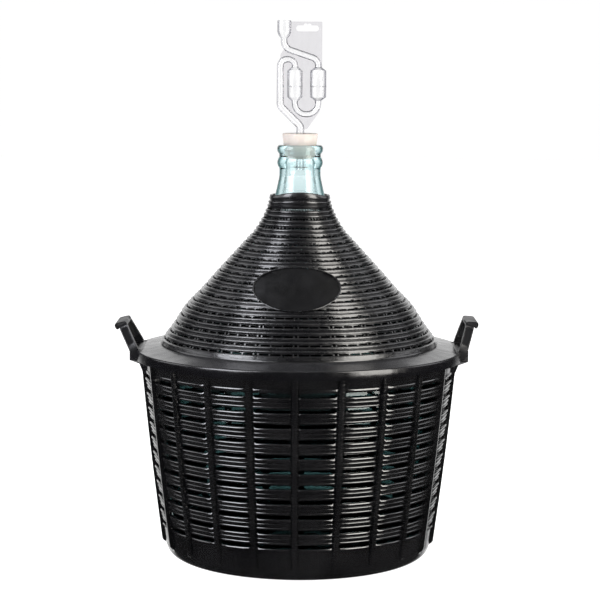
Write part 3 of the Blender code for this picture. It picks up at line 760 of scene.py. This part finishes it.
def cone_rows():
    """(arc length, depth under the crest in mm, starts a row of slots, edge of the slots)."""
    rows = [(0.0, 0.9, False, 0), (0.35 * MM, 0.3, False, 0), (1.2 * MM, 0.0, False, 0)]
    first = CONE_LAST_ROW - (CONE_ROWS - 1) * CONE_PITCH
    for above in COLLAR_GROOVES:
        rows += [(first - above * MM + step * MM, under, False, 0) for step, under in COLLAR_GROOVE]
    rows.append((first - 1.0 * MM, 0.6, False, 0))
    for k in range(CONE_ROWS):
        start = first + k * CONE_PITCH
        rows.append((start, 1.6, True, -1))
        for n, (depth, under) in enumerate(RIDGES):
            length = start + CONE_SLOT + depth * MM
            if k == CONE_ROWS - 1 and depth > 1.0:
                break
            rows.append((length, under, False, 1 if n == 0 else 0))
    return [row for row in rows if row[0] < CONE.total]


def build_cone():
    rows = cone_rows()
    columns = []
    for k in range(SECTORS):
        start = FRONT + RIB_PHASE + k * SECTOR
        columns += [(start + share * SECTOR, kind) for share, kind in CONE_SECTOR]
    angles = np.array([column[0] for column in columns])
    outer = np.zeros((len(rows) + len(CONE_FOOT), len(columns), 2))
    inner = np.zeros_like(outer)
    holes = set()
    inner_rows = [0]
    rng = np.random.default_rng(7)
    for j, (length, under, starts_slots, edge) in enumerate(rows):
        if starts_slots:
            inner_rows += [j, j + 1]
        for i, (angle, kind) in enumerate(columns):
            before = columns[i - 1][1]
            near_dot = kind == "dot" or before == "dot"
            at_web = kind == "web" or before == "web"
            place = length + edge * (0.55 * MM if near_dot else 0.0)
            place += edge * rng.uniform(-0.18, 0.18) * MM
            depth = under + (RIDGE_BASE - under) * (0.45 if edge and at_web else 0.0)
            point = CONE.at(place) - CONE.normal(place) * depth * MM
            lining = CONE.at(place) - CONE.normal(place) * COVER_WALL
            if length < COLLAR_DEPTH:
                turn = math.atan2(math.sin(angle - FRONT), math.cos(angle - FRONT))
                rise = collar_rise(turn) * (1.0 - length / COLLAR_DEPTH)
                point[1] += rise
                lining[1] += rise
            outer[j, i] = point
            inner[j, i] = lining
            if starts_slots and kind in ("slot", "dot"):
                holes.add((j, i))
    for n, (radius, z) in enumerate(CONE_FOOT):
        outer[len(rows) + n, :] = (radius, z)
        inner[len(rows) + n, :] = (radius - COVER_WALL, z)
    inner_rows += [len(rows), len(rows) + len(CONE_FOOT) - 1]
    mesh = slotted_shell("cover_cone", angles, outer, inner, inner_rows, holes)
    cone = add_object("cover_cone", mesh, MATERIALS["cone"], 42.0)
    attach_cover(cone)


def collar_rise(turn):
    """How far the mouth's rim stands up at an angle away from the front."""
    if abs(turn) >= COLLAR_HALF_ANGLE:
        return 0.0
    return COLLAR_RISE * math.cos(0.5 * math.pi * turn / COLLAR_HALF_ANGLE)


def attach_cover(item):
    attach(item, "cover")
    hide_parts("basket_cover")


def build_flange():
    """The sloping rim round the foot of the cone, its skirt, and the cuts for the handles."""
    edge_r = FLANGE_RADIUS
    skirt_z = COVER_LOW.z
    profile = [(0.1645, 0.2545), (0.1653, 0.2550), (0.1658, 0.2538), (0.1665, 0.2529), (0.1678, 0.2523)]
    profile += [(0.1925, 0.24815), (0.1938, 0.2480)]
    profile += arc_points((edge_r - 0.0022, 0.2458), 0.0022, 90.0, 5.0, 5)
    profile += [(edge_r + 0.0002, 0.2440), (edge_r + 0.0004, skirt_z + 0.0009)]
    profile += [(edge_r + 0.0001, skirt_z + 0.0002), (edge_r - 0.0006, skirt_z),
                (edge_r - 0.0024, skirt_z), (edge_r - 0.0030, skirt_z + 0.0006)]
    profile += [(edge_r - 0.0034, 0.2444), (0.1650, 0.2494), (0.1622, 0.2498), (0.1622, 0.2540)]
    flange = add_object("cover_flange", turned("cover_flange", profile, 192, closed=True),
                        MATERIALS["flange"], 40.0)
    for side in (-1, 1):
        reach = sorted((side * NOTCH_INNER_X, side * (edge_r + 0.01)))
        notch = block("notch", (reach[0], -NOTCH_HALF_WIDTH, skirt_z - 0.01),
                      (reach[1], NOTCH_HALF_WIDTH, 0.2553))
        combine(flange, add_object("notch", notch), "DIFFERENCE")
    flange.data.set_sharp_from_angle(angle=math.radians(40.0))
    attach_cover(flange)


def build_medallion():
    """The plain oval plate on the front of the cone, with a thin raised rim."""
    half_width = 0.0511
    low_z, high_z = 0.3061, 0.3532
    middle_z = (low_z + high_z) / 2.0
    half_height = (high_z - low_z) / 2.0
    sides = 96
    face = [(0.15, 1.0), (0.45, 1.05), (0.75, 1.0), (0.955, 0.95), (0.955, -1.8), (0.6, -1.8), (0.2, -1.8)]
    edge = [(0.957, 1.2), (0.962, 2.0), (0.975, 2.4), (0.989, 2.1), (1.0, 1.0), (1.0, -1.8), (0.957, -1.8)]

    def place(share, angle, proud):
        x = share * half_width * math.cos(angle)
        z = middle_z + share * half_height * math.sin(angle)
        radius = CONE.radius(z) + proud * MM
        turn = FRONT + MEDALLION_PHASE + math.asin(x / radius)
        return (radius * math.cos(turn), radius * math.sin(turn), z)

    def swept(section, closed):
        points = [place(share, 2.0 * math.pi * i / sides, proud)
                  for share, proud in section for i in range(sides)]
        rings = len(section)
        faces = band_faces(rings, sides, closed)
        if not closed:
            for ring, proud in ((0, section[0][1]), (rings - 1, section[-1][1])):
                faces += fan(points, place(0.0, 0.0, proud), ring * sides, sides)
        return points, faces

    for name, section, closed, look in (("cover_medallion", face, False, "medallion"),
                                        ("cover_medallion_rim", edge, True, "cone")):
        attach_cover(add_object(name, mesh_from(name, *swept(section, closed)), MATERIALS[look], 45.0))


# ------------------------------------------------------------------ handles
# Edge of the grip's section in millimetres: distance out from the strut's centre line and
# height against the strut's end. The lip curls under at its outer side.
GRIP_EDGE = [(5.2, -4.6), (6.4, -6.2), (8.2, -6.0), (9.1, -4.2), (9.15, -1.4), (8.2, 0.6),
             (6.0, 1.2), (2.0, 0.4), (-2.2, -0.6), (-4.4, -1.4)]


def strut_centre(height):
    """Distance of a strut's centre line from the middle of the handle, at a height over the pin."""
    share = max(0.0, height - STRUT_FOOT) / (HANDLE_HEIGHT - STRUT_FOOT)
    return STRUT_Y - STRUT_TAPER * share - STRUT_CORNER * share ** 4


# Section of a strut across its face: share of the half width and share of the hollow's depth.
STRUT_SECTION = [(-1.0, 0.0), (-0.62, 0.0), (-0.5, 1.0), (0.5, 1.0), (0.62, 0.0), (1.0, 0.0)]


def strut_mesh(end):
    """One strut: a round foot about the pin, then a bar that leans in, with a hollow on each face."""
    half = STRUT_WIDTH / 2.0
    levels = [(half * math.sin(a), half * math.cos(a)) for a in np.radians(np.linspace(-84.0, 0.0, 9))]
    levels += [(height, half) for height in np.linspace(3.0 * MM, HANDLE_HEIGHT - 4.0 * MM, 16)]
    first_hollow, last_hollow = STRUT_HOLLOW_ENDS[0], HANDLE_HEIGHT - STRUT_HOLLOW_ENDS[1]
    points = []
    for height, reach in levels:
        middle = end * strut_centre(height)
        hollow = STRUT_HOLLOW if first_hollow < height < last_hollow else 0.0
        near = [(reach * u, middle - STRUT_DEPTH / 2.0 + hollow * sunk) for u, sunk in STRUT_SECTION]
        far = [(reach * u, middle + STRUT_DEPTH / 2.0 - hollow * sunk) for u, sunk in STRUT_SECTION]
        points += [(x, y, height) for x, y in near + list(reversed(far))]
    count = 2 * len(STRUT_SECTION)
    last = (len(levels) - 1) * count
    faces = [tuple(range(count)), tuple(range(last, last + count))]
    return mesh_from("strut", points, faces + band_faces(len(levels), count))


def build_handle(side_name):
    """A loop of a round pin, two struts that lean together and a grip that curls outwards."""
    side = -1 if side_name == "left" else 1
    name = "handle_loop_" + side_name
    half = STRUT_WIDTH / 2.0
    half_length = STRUT_Y + STRUT_DEPTH / 2.0
    top = HANDLE_HEIGHT
    pin_outline = arc_points((0.0, 0.0), PIN_RADIUS, 0.0, 345.0, 23)
    handle = add_object(name, prism(name, pin_outline, MM - half_length, half_length - MM),
                        MATERIALS["handle"])
    for end in (-1, 1):
        combine(handle, add_object("strut", strut_mesh(end)), "UNION")
    inner_x = -half - 0.2 * MM
    edge = smooth_line([(x * MM, top + rise * MM) for x, rise in GRIP_EDGE], 4)
    grip_line = [(inner_x, top - 6.2 * MM)] + edge + [(inner_x, top - 2.6 * MM)]
    grip_half = strut_centre(top - 4.0 * MM) + STRUT_DEPTH / 2.0 + 0.3 * MM
    grip = prism("grip", grip_line, -grip_half, grip_half)
    combine(handle, add_object("grip", grip), "UNION")
    lean = Matrix.Rotation(HANDLE_LEAN[side_name], 4, "Y")
    mirror = Matrix.Scale(side, 4, Vector((1.0, 0.0, 0.0)))
    handle.data.transform(Matrix.Translation((side * HANDLE_AXIS[0], 0.0, HANDLE_AXIS[1])) @ mirror @ lean)
    if side < 0:
        handle.data.flip_normals()
    soften(handle, 0.7 * MM)
    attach(handle, side_name + "_handle")
    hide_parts("handle_" + side_name)


# ------------------------------------------------------------------ bung
def build_bung():
    top = BUNG_HIGH.z
    low = BUNG_LOW.z
    rim_radius = BUNG_HIGH.x
    lip_z = GLASS_HIGH.z
    profile = [(0.0051, top - 0.6 * MM), (0.0057, top), (rim_radius - 1.4 * MM, top)]
    profile += arc_points((rim_radius - 1.2 * MM, top - 1.2 * MM), 1.2 * MM, 80.0, 5.0, 5)
    profile += [(0.0195, lip_z), (0.0193, lip_z - 1.0 * MM), (0.0176, low + 1.0 * MM),
                (0.0173, low + 0.3 * MM), (0.0166, low), (0.0060, low), (0.0051, low + 0.8 * MM)]
    bung = add_object("bung_stopper", turned("bung_stopper", profile, 96, closed=True),
                      MATERIALS["rubber"], 40.0)
    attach(bung, "bung")
    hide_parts("rubber_bung")


# ------------------------------------------------------------------ airlock
# Route of the tube from the cup's rim to the stem's foot: x, z, outer radius, bend radius.
FILL_LINE_Z = 0.5584
FILL_LINE = 0.40 * MM


def bulb(x, radius):
    """Stations of one bulb from its upper shoulder to its lower one, with the fill mark."""
    mark = [(0.5, 0.0), (0.2, 1.0), (-0.2, 1.0), (-0.5, 0.0)]
    stations = [(x, 0.5812, 0.0040, 0.0), (x, 0.5775, radius - 0.6 * MM, 0.0), (x, 0.5767, radius, 0.0)]
    stations += [(x, FILL_LINE_Z + step * MM, radius + share * FILL_LINE, 0.0) for step, share in mark]
    stations += [(x, 0.5464, radius, 0.0), (x, 0.5456, radius - 0.6 * MM, 0.0), (x, 0.5419, 0.0040, 0.0)]
    return stations


def airlock_route():
    cup_x = -0.0194
    right_x, left_x, riser_x = 0.0209, -0.0066, -0.0238
    top = AIRLOCK_HIGH.z
    cup = [(cup_x, top, 0.0079, 0.0), (cup_x, top - 0.4 * MM, 0.0082, 0.0), (cup_x, 0.6225, 0.0082, 0.0),
           (cup_x, 0.6210, 0.0079, 0.0), (cup_x, 0.6182, 0.0066, 0.0), (cup_x, 0.6150, 0.0042, 0.0),
           (cup_x, 0.6138, 0.0039, 0.0)]
    arm = [(cup_x, 0.6036, 0.0039, 0.011), (right_x, 0.5901, 0.0039, 0.010)]
    bend = [(right_x, 0.5259, 0.0037, 0.0132), (left_x, 0.5259, 0.0037, 0.0132)]
    riser = [(left_x, 0.5904, 0.0037, 0.0080), (riser_x, 0.5904, 0.0040, 0.0080),
             (riser_x, 0.5356, 0.0043, 0.008), (0.0, 0.5120, 0.0046, 0.006)]
    stem = [(0.0, BUNG_HIGH.z + 1.0 * MM, 0.0048, 0.0), (0.0, AIRLOCK_LOW.z, 0.0046, 0.0)]
    left = list(reversed(bulb(left_x, 0.0091)))
    return cup + arm + bulb(right_x, 0.0096) + bend + left + riser + stem


def rounded_route(route, bend_steps):
    """The route with each bend as an arc: a list of (x, z, radius)."""
    points = []
    for i, (x, z, radius, bend) in enumerate(route):
        if bend == 0.0:
            points.append((x, z, radius))
            continue
        corner = Vector((x, z))
        back = (Vector(route[i - 1][:2]) - corner).normalized()
        ahead = (Vector(route[i + 1][:2]) - corner).normalized()
        half_angle = back.angle(ahead) / 2.0
        setback = bend / math.tan(half_angle)
        centre = corner + (back + ahead).normalized() * (bend / math.sin(half_angle))
        start = corner + back * setback - centre
        end = corner + ahead * setback - centre
        sweep = start.angle_signed(end)
        for j in range(bend_steps + 1):
            arm = start.copy()
            arm.rotate(Matrix.Rotation(-sweep * j / bend_steps, 2))
            points.append((centre.x + arm.x, centre.y + arm.y, radius))
    return points


def tube_ring(stations, i, sides, shrink):
    x, z, radius = stations[i]
    before = stations[max(i - 1, 0)]
    after = stations[min(i + 1, len(stations) - 1)]
    run = Vector((after[0] - before[0], after[1] - before[1])).normalized()
    ring = []
    for j in range(sides):
        angle = 2.0 * math.pi * (j + 0.5) / sides
        across = (radius - shrink) * math.cos(angle)
        ring.append((x - run.y * across, (radius - shrink) * math.sin(angle), z + run.x * across))
    return ring


def tube(name, stations, sides, wall=None, shrink=0.0):
    """A tube along stations: hollow with open ends if wall is given, else a solid rod."""
    points = []
    for i in range(len(stations)):
        points += tube_ring(stations, i, sides, shrink)
    outer_count = len(points)
    if wall:
        for i in range(len(stations)):
            points += tube_ring(stations, i, sides, wall)
    faces = []
    last = (len(stations) - 1) * sides
    for start in ([0, outer_count] if wall else [0]):
        faces += band_faces(len(stations), sides, start=start)
    for end in (0, last):
        if wall:
            faces += [(end + j, end + (j + 1) % sides, outer_count + end + (j + 1) % sides,
                       outer_count + end + j) for j in range(sides)]
        else:
            faces.append(tuple(end + j for j in range(sides)))
    return mesh_from(name, points, faces)


def build_airlock():
    """Blown tube with two bulbs, moulded on a flat plate with a hanging slot."""
    stations = rounded_route(airlock_route(), 14)
    lock = add_object("airlock_tube", tube("airlock_tube", stations, 28, wall=1.1 * MM),
                      MATERIALS["clear"], 45.0)
    outline = [(-0.0130, 0.6345), (0.0242, 0.6345), (0.0250, 0.6342), (0.0254, 0.6334), (0.0254, 0.5797),
               (0.0225, 0.5287), (0.0085, 0.5090), (0.0020, 0.5065), (-0.0010, 0.5100), (-0.0238, 0.5346),
               (-0.0238, 0.5955), (-0.0160, 0.6090)]
    half = 0.8 * MM
    web = add_object("airlock_web", prism("airlock_web", outline, -half, half), MATERIALS["web"])
    combine(web, add_object("bore", tube("bore", stations, 20, shrink=0.45 * MM)), "DIFFERENCE")
    slot = arc_points((-0.0020, 0.6265), 0.0035, 270.0, 90.0, 8)
    slot += [(0.0032, 0.6300), (0.0042, 0.6318), (0.0060, 0.6325), (0.0074, 0.6316), (0.0080, 0.6308),
             (0.0086, 0.6316), (0.0100, 0.6325), (0.0118, 0.6318), (0.0128, 0.6300)]
    slot += arc_points((0.0180, 0.6265), 0.0035, 90.0, -90.0, 8)
    combine(web, add_object("hang", prism("hang", slot, -0.003, 0.003)), "DIFFERENCE")
    web.data.set_sharp_from_angle(angle=math.radians(40.0))
    for piece in (lock, web):
        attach(piece, "airlock")
        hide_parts("airlock")


# ------------------------------------------------------------------ camera, light and floor
CAMERA_PLACE = (0.0009, -2.376, 0.5861)
CAMERA_PITCH = math.radians(6.76)           # how far it looks down
CAMERA_ROLL = math.radians(0.33)


def build_camera():
    """A long lens a little above the object, pitched down to it."""
    data = bpy.data.cameras.new("camera")
    data.lens = 120.0
    data.sensor_width = 36.0
    data.clip_end = 60.0
    camera = bpy.data.objects.new("camera", data)
    bpy.context.scene.collection.objects.link(camera)
    tilt = Matrix.Rotation(math.pi / 2.0 - CAMERA_PITCH, 4, "X")
    camera.matrix_world = Matrix.Translation(CAMERA_PLACE) @ tilt @ Matrix.Rotation(CAMERA_ROLL, 4, "Z")
    bpy.context.scene.camera = camera


def softbox(name, azimuth, distance, centre_z, size, power, colour):
    """A rectangular light at an azimuth from the front, facing the object."""
    data = bpy.data.lights.new(name, "AREA")
    data.shape = "RECTANGLE"
    data.size, data.size_y = size
    data.energy = power
    data.color = colour
    light = bpy.data.objects.new(name, data)
    bpy.context.scene.collection.objects.link(light)
    turn = math.radians(azimuth)
    light.location = (distance * math.sin(turn), -distance * math.cos(turn), centre_z)
    aim = Vector((0.0, 0.0, 0.30)) - light.location
    light.rotation_euler = aim.to_track_quat("-Z", "Y").to_euler()
    light.visible_camera = False


def build_lights():
    """Two tall softboxes in front, a dim one at each side, and a world that is bright behind and above."""
    softbox("softbox_left", -53.0, 1.7, 1.25, (1.05, 1.6), 32.0, (0.93, 0.94, 1.0))
    softbox("softbox_right", 51.0, 1.7, 0.88, (0.95, 2.0), 35.0, (1.0, 0.97, 0.92))
    for side_azimuth in (-100.0, 100.0):
        softbox("side_fill", side_azimuth, 1.7, 1.0, (1.1, 1.1), 5.0, (0.97, 0.97, 1.0))
    world = bpy.data.worlds.new("studio")
    world.use_nodes = True
    bpy.context.scene.world = world
    tree = world.node_tree
    direction = tree.nodes.new("ShaderNodeTexCoord").outputs["Generated"]
    behind = map_range(tree, component(tree, direction, "Y"), 0.02, 1.0, 0.70, 0.96, smooth=True)
    above = map_range(tree, component(tree, direction, "Z"), 0.0, 0.22, 0.50, 0.95, smooth=True)
    both = tree.nodes.new("ShaderNodeMath")
    both.operation = "MAXIMUM"
    background = tree.nodes["Background"]
    background.inputs["Color"].default_value = (1.0, 1.0, 1.0, 1.0)
    tree.links.new(behind, both.inputs[0])
    tree.links.new(above, both.inputs[1])
    tree.links.new(both.outputs["Value"], background.inputs["Strength"])


def glowing_white(name, base, roughness, strength):
    """A plain material that gives off white light."""
    material, tree, shader = new_material(name)
    shader.inputs["Base Color"].default_value = (base, base, base, 1.0)
    shader.inputs["Roughness"].default_value = roughness
    shader.inputs["Emission Color"].default_value = (1.0, 1.0, 1.0, 1.0)
    shader.inputs["Emission Strength"].default_value = strength
    return material


def build_stage():
    """A pale floor, and a plain white surround far behind everything."""
    floor_line = [(0.0, -0.0002), (9.98, -0.0002), (9.98, -0.01), (0.0, -0.01)]
    floor = add_object("floor", turned("floor", floor_line, 64, closed=False),
                       glowing_white("floor_white", 0.88, 0.9, 0.97))
    floor.visible_glossy = False
    surround_line = [(0.0, -0.03)] + arc_points((0.0, -0.02), 10.0, 0.0, 90.0, 24)
    surround = add_object("surround", turned("surround", surround_line, 64, closed=False),
                          glowing_white("surround_white", 0.0, 0.5, 1.0))
    surround.visible_glossy = False
    surround.visible_diffuse = False
    surround.visible_shadow = False
    surround.visible_volume_scatter = False


# ------------------------------------------------------------------ the whole scene
build_camera()
build_carboy()
build_tub()
build_cone()
build_flange()
build_medallion()
for name_of_side in ("left", "right"):
    build_boss(name_of_side)
    build_handle(name_of_side)
build_bung()
build_airlock()
build_lights()
build_stage()
bpy.context.scene.view_settings.view_transform = "Standard"
